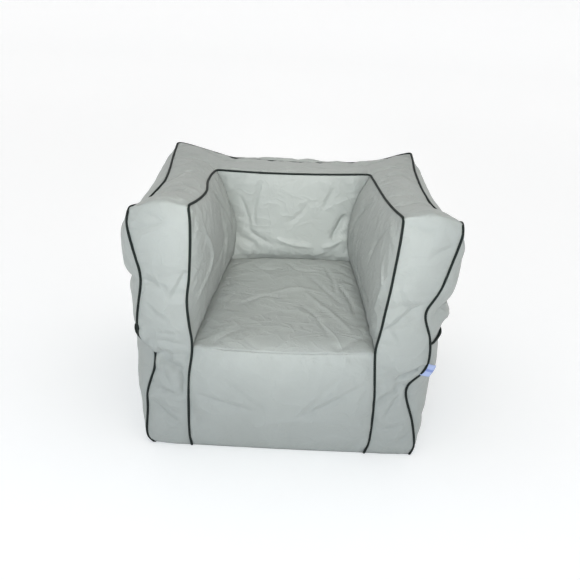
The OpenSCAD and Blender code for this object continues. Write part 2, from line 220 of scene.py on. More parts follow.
floor_back = seam(
    ([outer_back_left[0], (-.240, .368, 0)], ARM),
    ([(0, .369, 0), (.240, .368, 0)], SEAT),
    ([outer_back_right[0]], ARM))

# Each panel of the cover: its lower, right, upper and left edge, seen from outside.
back_front_edge = band_left + inner_back_top[1:] + band_right[1:]
PANELS = {
    "front_panel": (floor_front[ARM:ARM + SEAT + 1], inner_front_right[:LOW + 1],
                    seat_front, inner_front_left[:LOW + 1]),
    "seat_panel": (seat_front, seat_side_right, seat_back, seat_side_left),
    "inner_back_panel": (seat_back, back_corner_right, inner_back_top, back_corner_left),
    "inner_arm_panel_left": (seat_side_left, back_corner_left, inner_top_left,
                             inner_front_left[LOW:]),
    "inner_arm_panel_right": (seat_side_right[::-1], inner_front_right[LOW:],
                              inner_top_right[::-1], back_corner_right),
    "arm_front_left": (floor_front[:ARM + 1], inner_front_left, fold_left, outer_front_left),
    "arm_front_right": (floor_front[ARM + SEAT:], outer_front_right, fold_right,
                        inner_front_right),
    "arm_top_left": (fold_left, inner_top_left, band_left, outer_top_left[:REACH + 1]),
    "arm_top_right": (fold_right, outer_top_right[:REACH + 1], band_right, inner_top_right),
    "back_top_band": (back_front_edge, outer_top_right[REACH:], outer_back_top,
                      outer_top_left[REACH:]),
    "side_panel_left": (floor_left[::-1], outer_front_left, outer_top_left[::-1],
                        outer_back_left),
    "side_panel_right": (floor_right, outer_back_right, outer_top_right, outer_front_right),
    "outer_back_panel": (floor_back[::-1], outer_back_left, outer_back_top[::-1],
                         outer_back_right),
    "base_panel": (floor_back, floor_right[::-1], floor_front, floor_left[::-1]),
}
NAMES = list(PANELS)
BAND_OF = {"arm_front_left": "arm_band_left", "arm_top_left": "arm_band_left",
           "arm_front_right": "arm_band_right", "arm_top_right": "arm_band_right"}


def length(line):
    return sum((b - a).length for a, b in zip(line, line[1:]))


def panel_size(name):
    """The panel's mean width and height, seam to seam."""
    low, right, high, left = PANELS[name]
    return (length(low) + length(high)) / 2, (length(left) + length(right)) / 2


# How far out the side panels' beads push them, from the floor up.
SIDE_HEIGHTS = (0, .05, .15, .25, .34, .41, .50, .60, .64, .66)
SIDE_WIDTHS = {"side_panel_left": (.358, .372, .386, .396, .390, .398, .416, .419, .413, .402),
               "side_panel_right": (.362, .382, .388, .394, .386, .410, .416, .420, .414, .402)}


def fill_out(name, place, s, t, width, height):
    """Moves a place on a panel to where the filling pushes it, well clear of its seams."""
    def clear(run, reach):
        return 1 - math.exp(-max(run, 0) / reach)
    if name in SIDE_WIDTHS:
        edge = (clear(s * width, .026) * clear((1 - s) * width, .026)
                * clear(t * height, .03) * clear((1 - t) * height, .016))
        full = np.interp(place.z, SIDE_HEIGHTS, SIDE_WIDTHS[name])
        place.x += (math.copysign(full, place.x) - place.x) * edge
    if name == "outer_back_panel":
        drop = (1 - t) * height
        swell = math.exp(-drop / .06) * clear(drop, .012) * abs(math.sin(math.pi * s)) ** 1.2
        place += Vector((0, .020, .064)) * swell
    if name in ("arm_top_left", "arm_top_right"):
        place.z += (.020 * abs(math.sin(math.pi * s)) ** .6 * math.exp(-t * height / .10)
                    * clear(t * height, .03))


def fill_panel(bm, layer, weave, name):
    """A grid of cells between the panel's four edges, blended from one edge to the other."""
    low, right, high, left = PANELS[name]
    across, up = len(low) - 1, len(left) - 1
    width, height = panel_size(name)
    grid = bmesh.ops.create_grid(bm, x_segments=across, y_segments=up, size=1)
    for vert in grid["verts"]:
        s, t = (vert.co.x + 1) / 2, (vert.co.y + 1) / 2
        i, j = round(s * across), round(t * up)
        edges = low[i] * (1 - t) + high[i] * t + left[j] * (1 - s) + right[j] * s
        corners = ((low[0] * (1 - s) + low[-1] * s) * (1 - t)
                   + (high[0] * (1 - s) + high[-1] * s) * t)
        vert.co = edges - corners
        fill_out(name, vert.co, s, t, width, height)
        for corner in vert.link_loops:
            corner[weave].uv = s * width, t * height
            corner.face[layer] = NAMES.index(name)


def make_cage():
    bm = bmesh.new()
    layer = bm.faces.layers.int.new("panel")
    weave = bm.loops.layers.uv.new("weave")
    for name in NAMES:
        fill_panel(bm, layer, weave, name)
    bmesh.ops.remove_doubles(bm, verts=bm.verts, dist=0.0002)
    bmesh.ops.recalc_face_normals(bm, faces=bm.faces)
    mesh = bpy.data.meshes.new("cover_cage")
    bm.to_mesh(mesh)
    bm.free()
    return mesh


# ---- Cloth simulation -------------------------------------------------------------------
# How far each panel of the filled cover may bulge from its flat cut.
BULGE = {"front_panel": .018, "seat_panel": .016, "inner_back_panel": .020,
         "inner_arm_panel_left": .020, "inner_arm_panel_right": .020,
         "arm_front_left": .022, "arm_front_right": .022, "arm_top_left": .022,
         "arm_top_right": .022, "back_top_band": .009, "side_panel_left": .010,
         "side_panel_right": .010, "outer_back_panel": .022, "base_panel": .001}


def panel_numbers(mesh):
    numbers = np.zeros(len(mesh.polygons), np.int32)
    mesh.attributes["panel"].data.foreach_get("value", numbers)
    return numbers


def piece_of(number):
    """The cover piece a panel is cut in: an arm's front and top are one band."""
    return BAND_OF.get(NAMES[number], NAMES[number])


def seam_edges(mesh):
    """The edges where two pieces of the cover are sewn together."""
    numbers = panel_numbers(mesh)
    beside = {}
    for face in mesh.polygons:
        for key in face.edge_keys:
            beside.setdefault(key, set()).add(piece_of(numbers[face.index]))
    return [key for key, pieces in beside.items() if len(pieces) > 1]


def inflate(mesh):
    """Fills the cover: its panels swell between their seams, and wrinkle as cloth does."""
    start = positions(mesh)
    held = {vert for key in seam_edges(mesh) for vert in key}
    held |= set(np.nonzero(start[:, 2] < 0.002)[0])
    zip_band = (start[:, 1] > BACK_PLANE - .02) & (start[:, 2] < ZIP_HIGH[2] + .02)
    held |= set(np.nonzero(zip_band)[0])
    cover = show("cover_cloth", mesh)
    cover.vertex_groups.new(name="sewn").add([int(v) for v in held], 1.0, "REPLACE")
    cloth = cover.modifiers.new("cloth", "CLOTH")
    cloth.collision_settings.use_collision = False
    cloth.settings.vertex_group_mass = "sewn"
    cloth.settings.quality = 5
    cloth.settings.mass = 0.3
    cloth.settings.tension_stiffness = 15
    cloth.settings.compression_stiffness = 15
    cloth.settings.shear_stiffness = 5
    cloth.settings.bending_stiffness = 0.2
    cloth.settings.use_pressure = True
    cloth.settings.uniform_pressure_force = 4
    cloth.settings.shrink_min = cloth.settings.shrink_max = -0.03
    cloth.settings.effector_weights.gravity = 0
    for number in range(1, 23):
        bpy.context.scene.frame_set(number)
    swollen = finished(cover)
    bpy.context.scene.frame_set(1)
    move = positions(swollen) - start
    far = np.linalg.norm(move, axis=1) + 1e-9
    limit = np.full(len(start), 1.0)
    for face, number in zip(swollen.polygons, panel_numbers(swollen)):
        for vert in face.vertices:
            limit[vert] = min(limit[vert], BULGE[NAMES[number]])
    set_positions(swollen, start + move * (limit * np.tanh(far / limit) / far)[:, None])
    return swollen


def refine(mesh):
    """One finer level of the cover, with its seams kept as lines."""
    sewn = set(seam_edges(mesh))
    sharp = mesh.attributes.new("crease_edge", "FLOAT", "EDGE")
    sharp.data.foreach_set("value", [float(edge.key in sewn) for edge in mesh.edges])
    cover = show("cover_fine", mesh)
    finer = cover.modifiers.new("finer", "SUBSURF")
    finer.levels = finer.render_levels = 1
    finer.uv_smooth = "NONE"
    return finished(cover)


# ---- Seams drawn in, and creases --------------------------------------------------------
GROOVE, GROOVE_REACH = .0025, .007
SEAT_GROOVE, SEAT_GROOVE_REACH = .008, .009
SOFT_EDGE_REACH = .02
PUCKER, PUCKER_REACH, PUCKERS_PER_METRE = .0016, .012, 45
SEWN_REACH = .06
FOLD_DEPTH, FOLD_WIDTH, FOLD_SHARPNESS = 2.1, .85, 1.2


# Folds in the cloth: for each piece an axis and a level on it, and then rows of the fold's half
# width, its depth and its line. A point of two numbers is at that level; one of three is free.
# A depth below nothing stands up as a ridge. FOLD_DEPTH and FOLD_WIDTH scale them all.
X, Y, Z = range(3)
CREASES = [
    ("arm_band_left", Y, -.39, [
        (.015, -.0130, (-.372, -.380, .345), (-.360, -.380, .315), (-.345, -.380, .288),
         (-.330, -.380, .262), (-.326, -.380, .232)),
        (.006, .0030, (-.350, .310), (-.300, .308), (-.250, .305)),
        (.010, .0075, (-.355, .312), (-.343, .288), (-.325, .265), (-.300, .254), (-.270, .240),
         (-.260, .205), (-.260, .160)),
        (.012, -.0050, (-.340, .318), (-.320, .290), (-.290, .275), (-.255, .262)),
        (.006, .0030, (-.325, .250), (-.310, .215), (-.285, .180)),
        (.007, .0045, (-.355, .200), (-.330, .185), (-.290, .165), (-.258, .155)),
        (.007, .0035, (-.350, .145), (-.310, .110), (-.265, .070)),
        (.005, .0025, (-.325, .145), (-.285, .112), (-.255, .095)),
        (.008, .0055, (-.362, .490), (-.340, .480), (-.315, .470), (-.300, .458)),
        (.006, .0030, (-.385, .605), (-.345, .615), (-.315, .632), (-.300, .650)),
        (.006, .0025, (-.365, .660), (-.335, .648), (-.312, .640)),
        (.007, .0035, (-.292, .430), (-.270, .475), (-.250, .515)),
        (.006, .0030, (-.355, .425), (-.330, .395), (-.300, .372)),
        (.005, .0020, (-.345, .342), (-.295, .335), (-.252, .340)),
        (.010, .0040, (-.350, -.100, .660), (-.310, -.020, .670), (-.270, .020, .660)),
        (.010, .0045, (-.370, -.260, .660), (-.320, -.220, .670), (-.260, -.250, .670)),
    ]),
    ("arm_band_right", Y, -.39, [
        (.007, .0050, (.335, .455), (.300, .433), (.275, .410), (.252, .388), (.232, .375)),
        (.006, .0040, (.330, .422), (.305, .410), (.270, .396), (.240, .385)),
        (.010, .0090, (.365, .282), (.345, .268), (.315, .252), (.285, .232)),
        (.012, -.0050, (.355, .305), (.325, .282), (.295, .262)),
        (.007, .0045, (.312, .220), (.285, .200), (.255, .175), (.236, .155)),
        (.006, .0035, (.315, .200), (.296, .175), (.280, .148), (.265, .115)),
        (.006, .0030, (.335, .110), (.295, .096), (.255, .085)),
        (.006, .0025, (.350, .085), (.320, .056), (.280, .035)),
        (.007, .0035, (.382, .610), (.350, .598), (.320, .580)),
        (.006, .0030, (.232, .400), (.255, .375), (.280, .345)),
        (.009, .0035, (.270, -.380, .665), (.300, .645), (.335, .648)),
        (.007, .0025, (.255, .515), (.270, .485), (.280, .445)),
        (.010, .0045, (.370, -.250, .660), (.320, -.220, .670), (.260, -.260, .670)),
        (.010, .0040, (.350, .020, .660), (.310, .080, .670), (.260, .060, .660)),
    ]),
    ("front_panel", Y, -.40, [
        (.007, .0040, (-.242, .175), (-.180, .160), (-.115, .142), (-.065, .132)),
        (.006, .0025, (-.160, .225), (-.115, .185), (-.055, .140)),
        (.007, .0040, (.225, .232), (.170, .200), (.120, .166), (.070, .135), (.020, .112)),
        (.006, .0025, (.155, .255), (.115, .215), (.075, .160), (.040, .118)),
        (.005, .0020, (.222, .225), (.205, .180), (.185, .135)),
        (.010, -.0020, (-.085, .075), (-.020, .100), (.045, .110), (.125, .106), (.225, .095)),
    ]),
    ("seat_panel", Z, .34, [
        (.007, -.0030, (.045, -.070), (.085, -.145), (.130, -.220), (.175, -.305)),
        (.006, .0025, (.065, .025), (.110, -.060), (.155, -.150)),
        (.006, .0025, (-.120, .115), (-.075, .070), (-.020, .080)),
        (.006, .0030, (.150, -.025), (.180, -.115), (.190, -.210)),
        (.006, -.0020, (-.055, -.095), (.020, -.055), (.095, -.075)),
        (.006, .0025, (.035, -.155), (.080, -.225), (.110, -.330)),
        (.006, .0025, (-.135, -.175), (-.075, -.110), (-.020, -.120)),
        (.006, .0025, (.115, .100), (.135, .005), (.140, -.085)),
        (.006, .0020, (-.195, -.380, .330), (-.160, -.330), (-.125, -.310)),
        (.006, .0025, (-.010, .130), (.035, .070), (.090, .060)),
    ]),
    ("inner_back_panel", Y, .16, [
        (.007, .0035, (-.100, .600), (-.112, .555), (-.120, .500), (-.115, .450)),
        (.006, .0030, (.125, .590), (.110, .545), (.095, .510)),
        (.007, .0040, (-.150, .445), (-.105, .410), (-.055, .385)),
        (.008, -.0040, (-.045, .410), (.005, .392), (.075, .385)),
        (.012, .0090, (.178, .500), (.155, .455), (.138, .408)),
        (.007, .0025, (.055, .545), (.025, .495), (-.020, .460)),
        (.008, .0035, (-.165, .550), (-.142, .485), (-.130, .430)),
        (.008, -.0040, (.105, .385), (.140, .398), (.170, .420)),
    ]),
    ("inner_arm_panel_left", X, 0, [
        (.008, .0040, (-.240, -.050, .630), (-.220, .060, .540), (-.210, .120, .450)),
        (.009, .0045, (-.220, .030, .460), (-.220, -.125, .440), (-.230, -.280, .430)),
        (.008, -.0040, (-.230, -.310, .600), (-.230, -.240, .500), (-.230, -.330, .420)),
        (.008, .0035, (-.200, .110, .380), (-.210, -.060, .350), (-.230, -.260, .345)),
    ]),
    ("inner_arm_panel_right", X, 0, [
        (.009, .0045, (.220, .040, .410), (.220, -.120, .390), (.230, -.270, .395)),
        (.008, .0040, (.230, -.040, .605), (.220, .060, .530), (.210, .120, .450)),
        (.007, -.0035, (.230, -.320, .540), (.230, -.350, .480), (.230, -.330, .410)),
        (.008, .0035, (.200, .120, .385), (.210, -.060, .360), (.230, -.200, .350)),
        (.008, .0030, (.240, -.290, .620), (.230, -.220, .550), (.230, -.190, .480)),
    ]),
    ("side_panel_right", X, 0, [
        (.020, .0100, (.360, -.370, .405), (.385, -.330, .430), (.410, -.270, .445),
         (.410, -.120, .440)),
        (.012, -.0060, (.385, -.340, .400), (.405, -.260, .405), (.405, -.150, .400)),
        (.012, .0050, (.390, -.100, .560), (.390, .080, .500), (.390, .240, .520)),
        (.010, .0045, (.380, .100, .420), (.380, .250, .370), (.380, .330, .400)),
    ]),
    ("side_panel_left", X, 0, [
        (.016, .0080, (-.370, -.370, .480), (-.400, -.320, .470), (-.410, -.220, .455),
         (-.410, -.080, .470)),
        (.014, .0070, (-.390, -.350, .330), (-.400, -.280, .345), (-.400, -.120, .370)),
        (.012, .0050, (-.390, -.050, .580), (-.390, .120, .520), (-.390, .260, .560)),
        (.010, .0045, (-.380, .060, .430), (-.380, .200, .390), (-.380, .320, .430)),
    ]),
    ("outer_back_panel", Y, .39, [
        (.014, .0060, (-.300, .560), (-.160, .500), (.020, .520)),
        (.012, .0050, (.310, .500), (.180, .430), (.060, .420)),
        (.012, .0050, (-.320, .330), (-.180, .290), (-.020, .310)),
        (.012, .0050, (.300, .260), (.160, .220), (.020, .200)),
    ]),
    ("back_top_band", X, 0, [
        (.009, .0035, (-.330, .340, .660), (-.220, .290, .650), (-.120, .300, .640)),
        (.008, .0030, (.330, .320, .660), (.210, .280, .650), (.110, .300, .640)),
        (.007, .0025, (-.060, .220, .640), (.040, .250, .640), (.120, .220, .640)),
    ]),
]


def crease_lines():
    """Every fold as its piece, half width, depth and whole points."""
    for name, axis, level, rows in CREASES:
        for width, depth, *line in rows:
            yield name, width, depth, [point if len(point) == 3 else
                                       point[:axis] + (level,) + point[axis:] for point in line]


def draw_in(mesh):
    """Pulls the cover in along its seams, with the small puckers that sewing leaves."""
    points, out = positions(mesh), normals(mesh)
    line = []
    for a, b in seam_edges(mesh):
        line += [points[a] + (points[b] - points[a]) * k / 4 for k in range(4)]
    finder, deep, soft = nearest(line), nearest(seat_back), nearest(seat_front)
    side = np.zeros(len(points))
    for face, number in zip(mesh.polygons, panel_numbers(mesh)):
        for vert in face.vertices:
            side[vert] = number
    for vert, point in enumerate(points):
        place, _, far = finder.find(point)
        if far < SEWN_REACH and point[2] > .004:
            wave = noise.noise(place * PUCKERS_PER_METRE + Vector((0, 0, 7.3 * side[vert])))
            away = far / PUCKER_REACH
            drawn = GROOVE * math.exp(-far / GROOVE_REACH)
            drawn *= 1 - .8 * math.exp(-(soft.find(point)[2] / SOFT_EDGE_REACH) ** 2)
            drawn += SEAT_GROOVE * math.exp(-deep.find(point)[2] / SEAT_GROOVE_REACH)
            points[vert] += out[vert] * (PUCKER * wave * away * math.exp(1 - away) - drawn)
    set_positions(mesh, points)


def crease(mesh):
    """Presses the cover's folds into it."""
    points, out = positions(mesh), normals(mesh)
    member, faces = {}, {}
    for face, number in zip(mesh.polygons, panel_numbers(mesh)):
        member.setdefault(piece_of(number), set()).update(face.vertices)
        faces.setdefault(piece_of(number), []).append(tuple(face.vertices))
    surface = {name: BVHTree.FromPolygons(points.tolist(), faces[name]) for name in faces}
    press = np.zeros(len(points))
    for name, width, depth, line in crease_lines():
        verts = np.array(sorted(member[name]))
        stroke = [surface[name].find_nearest(place)[0] for place in seam((line, 14))]
        stroke = np.array([place[:] for place in stroke])
        best = np.full(len(verts), 9.0)
        along = np.zeros(len(verts))
        for number, (a, b) in enumerate(zip(stroke, stroke[1:])):
            t = np.clip((points[verts] - a) @ (b - a) / ((b - a) @ (b - a) + 1e-12), 0, 1)
            far = np.linalg.norm(points[verts] - a - t[:, None] * (b - a), axis=1)
            along = np.where(far < best, (number + t) / (len(stroke) - 1), along)
            best = np.minimum(best, far)
        ends = np.sqrt(np.clip(np.sin(np.pi * along), 0, 1))
        across = np.exp(-(best / (FOLD_WIDTH * width)) ** FOLD_SHARPNESS)
        press[verts] -= FOLD_DEPTH * depth * ends * across
    set_positions(mesh, points + out * press[:, None])


# ---- The cover's pieces -----------------------------------------------------------------
class Cover:
    """The filled cover: where its cloth lies, and which way it faces."""

    def __init__(self, mesh):
        self.mesh = mesh
        self.points = [Vector(p) for p in positions(mesh)]
        self.out = [Vector(n) for n in normals(mesh)]
        self.finder = nearest(self.points)
        self.sewn = sorted({vert for key in seam_edges(mesh) for vert in key})
        self.seams = nearest([self.points[vert] for vert in self.sewn])
        self.surface = BVHTree.FromPolygons(self.points, [f.vertices for f in mesh.polygons])

    def outward(self, place):
        return self.out[self.finder.find(place)[1]]

    def along(self, line, lift):
        """The seam that follows this line, lifted off the cloth."""
        verts = [self.sewn[self.seams.find(place)[1]] for place in line]
        path = [self.points[vert] + self.out[vert] * lift for vert in verts]
        for _ in range(2):
            path[1:-1] = [(a + 2 * b + c) / 4 for a, b, c in zip(path, path[1:], path[2:])]
        return path


def above_floor(mesh):
    """Nothing of the chair goes below the floor."""
    points = positions(mesh)
    points[:, 2] = np.maximum(points[:, 2], 0)
    set_positions(mesh, points)


def with_thickness(name, mesh, thickness):
    mesh.shade_smooth()
    above_floor(mesh)
    piece = show(name, mesh)
    wall = piece.modifiers.new("thickness", "SOLIDIFY")
    wall.thickness = thickness
    wall.offset = -1
    return piece


def from_bmesh(name, bm):
    mesh = bpy.data.meshes.new(name)
    bm.to_mesh(mesh)
    bm.free()
    return mesh


def turn_in(bm, cover, allowance):
    """Turns a seam allowance in along a piece's open edges."""
    rim = [edge for edge in bm.edges if edge.is_boundary]
    made = bmesh.ops.extrude_edge_only(bm, edges=rim)["geom"]
    for vert in made:
        if isinstance(vert, bmesh.types.BMVert):
            vert.co -= cover.outward(vert.co) * allowance


def cut_piece(cover, panels):
    """The cover's faces of these panels, alone."""
    bm = bmesh.new()
    bm.from_mesh(cover.mesh)
    layer = bm.faces.layers.int["panel"]
    others = [face for face in bm.faces if NAMES[face[layer]] not in panels]
    bmesh.ops.delete(bm, geom=others, context="FACES")
    return bm


def sew_piece(name, bm, cover):
    turn_in(bm, cover, SEAM_ALLOWANCE)
    return with_thickness(name, from_bmesh(name, bm), CLOTH_THICKNESS)


def cut_zip_window(bm, below):
    """The outer back above or below the zip, with the zip's opening cut out."""
    middle = (ZIP_LOW[2] + ZIP_HIGH[2]) / 2
    for place, across in (((0, 0, ZIP_LOW[2]), (0, 0, 1)), ((0, 0, ZIP_HIGH[2]), (0, 0, 1)),
                          ((0, 0, middle), (0, 0, 1)), ((ZIP_LOW[0], 0, 0), (1, 0, 0)),
                          ((ZIP_HIGH[0], 0, 0), (1, 0, 0))):
        whole = bm.verts[:] + bm.edges[:] + bm.faces[:]
        bmesh.ops.bisect_plane(bm, geom=whole, dist=1e-6, plane_co=place, plane_no=across)
    gone = []
    for face in bm.faces:
        at = face.calc_center_median()
        window = ZIP_LOW[2] < at.z < ZIP_HIGH[2] and ZIP_LOW[0] < at.x < ZIP_HIGH[0]
        if window or (at.z < middle) != below:
            gone.append(face)
    bmesh.ops.delete(bm, geom=gone, context="FACES")


def make_cover_pieces(cover):
    pieces = {}
    for name in ("front_panel", "seat_panel", "inner_back_panel", "inner_arm_panel_left",
                 "inner_arm_panel_right", "back_top_band", "side_panel_left",
                 "side_panel_right", "base_panel"):
        pieces[name] = sew_piece(name, cut_piece(cover, [name]), cover)
    for side in ("left", "right"):
        bm = cut_piece(cover, ["arm_front_" + side, "arm_top_" + side])
        pieces["arm_band_" + side] = sew_piece("arm_band_" + side, bm, cover)
    for name, below in (("outer_back_panel", False), ("lower_back_panel", True)):
        bm = cut_piece(cover, ["outer_back_panel"])
        cut_zip_window(bm, below)
        pieces[name] = sew_piece(name, bm, cover)
    return pieces


# ---- Piping, pockets and labels ---------------------------------------------------------
def cord_tube(name, path, radius):
    curve = bpy.data.curves.new(name, "CURVE")
    curve.dimensions = "3D"
    spline = curve.splines.new("POLY")
    spline.points.add(len(path) - 1)
    for point, place in zip(spline.points, path):
        point.co = (*place, 1)
    curve.bevel_depth = radius
    curve.bevel_resolution = 4
    curve.use_fill_caps = True
    mesh = finished(show(name, curve))
    mesh.shade_smooth()
    above_floor(mesh)
    return show(name, mesh)


def smooth_line(points, cells):
    return seam((points, cells))


def make_piping(cover):
    inner = (inner_front_left + inner_top_left[1:] + inner_back_top[1:]
             + inner_top_right[::-1][1:] + inner_front_right[::-1][1:])
    outer = (outer_front_left + outer_top_left[1:] + outer_back_top[1:]
             + outer_top_right[::-1][1:] + outer_front_right[::-1][1:])
    return {name: cord_tube(name, smooth_line(cover.along(line, PIPING_LIFT), 2 * len(line)),
                            PIPING_RADIUS)
            for name, line in (("inner_piping", inner), ("outer_piping", outer))}


# Each pocket's mouth, as y and z from the front to the back, and how far it gapes there.
MOUTHS = {
    "left": ([(-.352, .281), (-.340, .285), (-.310, .293), (-.250, .303), (-.100, .318),
              (.100, .330), (.379, .340)], .005),
    "right": ([(-.378, .344), (-.350, .346), (-.300, .350), (-.150, .344), (.050, .338),
               (.250, .340), (.379, .342)], .004),
}


def make_pocket(cover, side, front, back):
    """A pocket's patch over the side panel, and the piping of its mouth."""
    mouth, gape = MOUTHS[side]
    sign = 1 if side == "right" else -1
    front = [p for p in front if p.z < mouth[0][1]]
    back = [p for p in back if p.z < mouth[-1][1]]
    ends = front[-1].x, back[-1].x
    depth = mouth[-1][0] - mouth[0][0]
    high = smooth_line([(ends[0] + (ends[1] - ends[0]) * (y - mouth[0][0]) / depth, y, z)
                        for y, z in mouth], POCKET_ACROSS)
    low = smooth_line([front[0], back[0]], POCKET_ACROSS)
    left = smooth_line(front + [high[0]], POCKET_UP)
    right = smooth_line(back + [high[-1]], POCKET_UP)
    bm = bmesh.new()
    weave = bm.loops.layers.uv.new("weave")
    grid = bmesh.ops.create_grid(bm, x_segments=POCKET_ACROSS, y_segments=POCKET_UP, size=1)
    for vert in grid["verts"]:
        s, t = (vert.co.x + 1) / 2, (vert.co.y + 1) / 2
        i, j = round(s * POCKET_ACROSS), round(t * POCKET_UP)
        place = (low[i] * (1 - t) + high[i] * t + left[j] * (1 - s) + right[j] * s
                 - (low[0] * (1 - s) + low[-1] * s) * (1 - t)
                 - (high[0] * (1 - s) + high[-1] * s) * t)
        hit = cover.surface.ray_cast(Vector((sign, place.y, place.z)), Vector((-sign, 0, 0)),
                                     .7)[0]
        slack = gape * t ** 3 * min(1, 5 * math.sin(math.pi * min(1, s)))
        vert.co = Vector(((hit or place).x + sign * (POCKET_LIFT + slack), place.y, place.z))
        for corner in vert.link_loops:
            corner[weave].uv = s * POCKET_SIZE[0], t * POCKET_SIZE[1]
    if sign < 0:
        bmesh.ops.reverse_faces(bm, faces=bm.faces)
    rim = [vert.co.copy() for vert in grid["verts"][-(POCKET_ACROSS + 1):]]
    mesh = from_bmesh("side_pocket_" + side, bm)
    patch = with_thickness("side_pocket_" + side, mesh, CLOTH_THICKNESS)
    binding = cord_tube("pocket_piping_" + side, smooth_line(rim, 150), PIPING_RADIUS)
    return {"side_pocket_" + side: patch, "pocket_piping_" + side: binding}


# ---- Labels -----------------------------------------------------------------------------
def make_side_label(cover):
    """A ribbon folded in two and sewn into the right outer seam, below the pocket's mouth."""
    width, height = LABEL_SIZE
    low, high = LABEL_FOOT, LABEL_FOOT + height
    root = [p for p in outer_front_right if low - .02 < p.z < high + .02]
    seam_at = [cover.along([p], .002)[0] for p in root]
    foot = Vector(np.mean([p[:] for p in seam_at], axis=0))
    bm = bmesh.new()
    weave = bm.loops.layers.uv.new("weave")
    grid = bmesh.ops.create_grid(bm, x_segments=14, y_segments=16, size=1)
    for vert in grid["verts"]:
        s, t = (vert.co.x + 1) / 2, (vert.co.y + 1) / 2
        edge = np.interp(low + height * t, [p.z for p in seam_at], [p.x for p in seam_at])
        vert.co = Vector((edge - .004 + width * s,
                          foot.y - .001 - .005 * math.sin(1.8 * s) + .0015 * math.sin(4 * t + s),
                          low + height * t - .002 * s))
        for corner in vert.link_loops:
            corner[weave].uv = s * width, t * height
    return with_thickness("side_label", from_bmesh("side_label", bm), RIBBON_THICKNESS)


# ---- Inside the cover -------------------------------------------------------------------
def sunk(cover, depth):
    """The cover's coarse shape, moved in by this much, and lower behind the back rest's top."""
    bm = bmesh.new()
    bm.from_mesh(cover.mesh)
    for vert in bm.verts:
        behind = np.interp(vert.co.y, (.30, .34), (0, 1)) * np.interp(vert.co.z, (.55, .59), (0, 1))
        vert.co -= cover.out[vert.index] * depth + Vector((0, .014, .028)) * behind
        vert.co.z = max(vert.co.z, depth)
    bmesh.ops.smooth_vert(bm, verts=[v for v in bm.verts if v.co.z > depth + .001],
                          factor=.5, use_axis_x=True, use_axis_y=True, use_axis_z=True)
    return bm


def make_inside(cover):
    """The liner, sewn as walls and a base, and the beads that fill it."""
    pieces = {}
    for name, walls in (("liner_walls", True), ("liner_base", False)):
        bm = sunk(cover, LINER_DEPTH)
        layer = bm.faces.layers.int["panel"]
        base = NAMES.index("base_panel")
        others = [face for face in bm.faces if (face[layer] == base) == walls]
        bmesh.ops.delete(bm, geom=others, context="FACES")
        pieces[name] = with_thickness(name, from_bmesh(name, bm), LINER_THICKNESS)
    pieces["bead_fill"] = show("bead_fill", from_bmesh("bead_fill", sunk(cover, BEAD_DEPTH)))
    return pieces


# ---- Zip --------------------------------------------------------------------------------
def make_teeth(name, rising):
    """One row of the zip's teeth, in the bar its plain node holds."""
    low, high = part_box(name)
    pitch = .0020
    count = int((high[0] - low[0]) / pitch)
    bm = bmesh.new()
    for number in range(count):
        tooth = bmesh.ops.create_cube(bm, size=1)["verts"]
        bmesh.ops.scale(bm, vec=(pitch * .62, high[1] - low[1], high[2] - low[2]), verts=tooth)
        edges = {edge for vert in tooth for edge in vert.link_edges
                 if abs(edge.verts[0].co.x - edge.verts[1].co.x) < 1e-6}
        bevelled = bmesh.ops.bevel(bm, geom=list(edges), offset=.00035, segments=1,
                                   affect="EDGES", profile=.5, material=-1)
        verts = {vert for face in bevelled["faces"] for vert in face.verts}
        at = low[0] + pitch * (number + (.5 if rising else .9)) * (high[0] - low[0]) / (
            pitch * (count + .5))
        bmesh.ops.translate(bm, vec=(at, (low[1] + high[1]) / 2, (low[2] + high[2]) / 2),
                            verts=list(verts))
    mesh = from_bmesh(name + "_row", bm)
    return show(name + "_row", mesh)


# ---- Finishes ---------------------------------------------------------------------------
class Signal:
    """A value that varies over a surface; a sum on it makes the Math nodes it needs."""

    def __init__(self, tree, socket):
        self.tree, self.socket = tree, socket

    def math(self, operation, *others):
        node = self.tree.nodes.new("ShaderNodeMath")
        node.operation = operation
        for slot, value in zip(node.inputs, (self,) + others):
            feed(self.tree, slot, value)
        return Signal(self.tree, node.outputs[0])

    def __add__(self, other):
        return self.math("ADD", other)

    def __sub__(self, other):
        return self.math("SUBTRACT", other)

    def __rsub__(self, other):
        return self * -1 + other

    def __mul__(self, other):
        return self.math("MULTIPLY", other)

    def __pow__(self, other):
        return self.math("POWER", other)

    def __abs__(self):
        return self.math("ABSOLUTE")

    __radd__, __rmul__ = __add__, __mul__


def feed(tree, slot, value):
    if isinstance(value, Signal):
        tree.links.new(value.socket, slot)
    else:
        slot.default_value = value


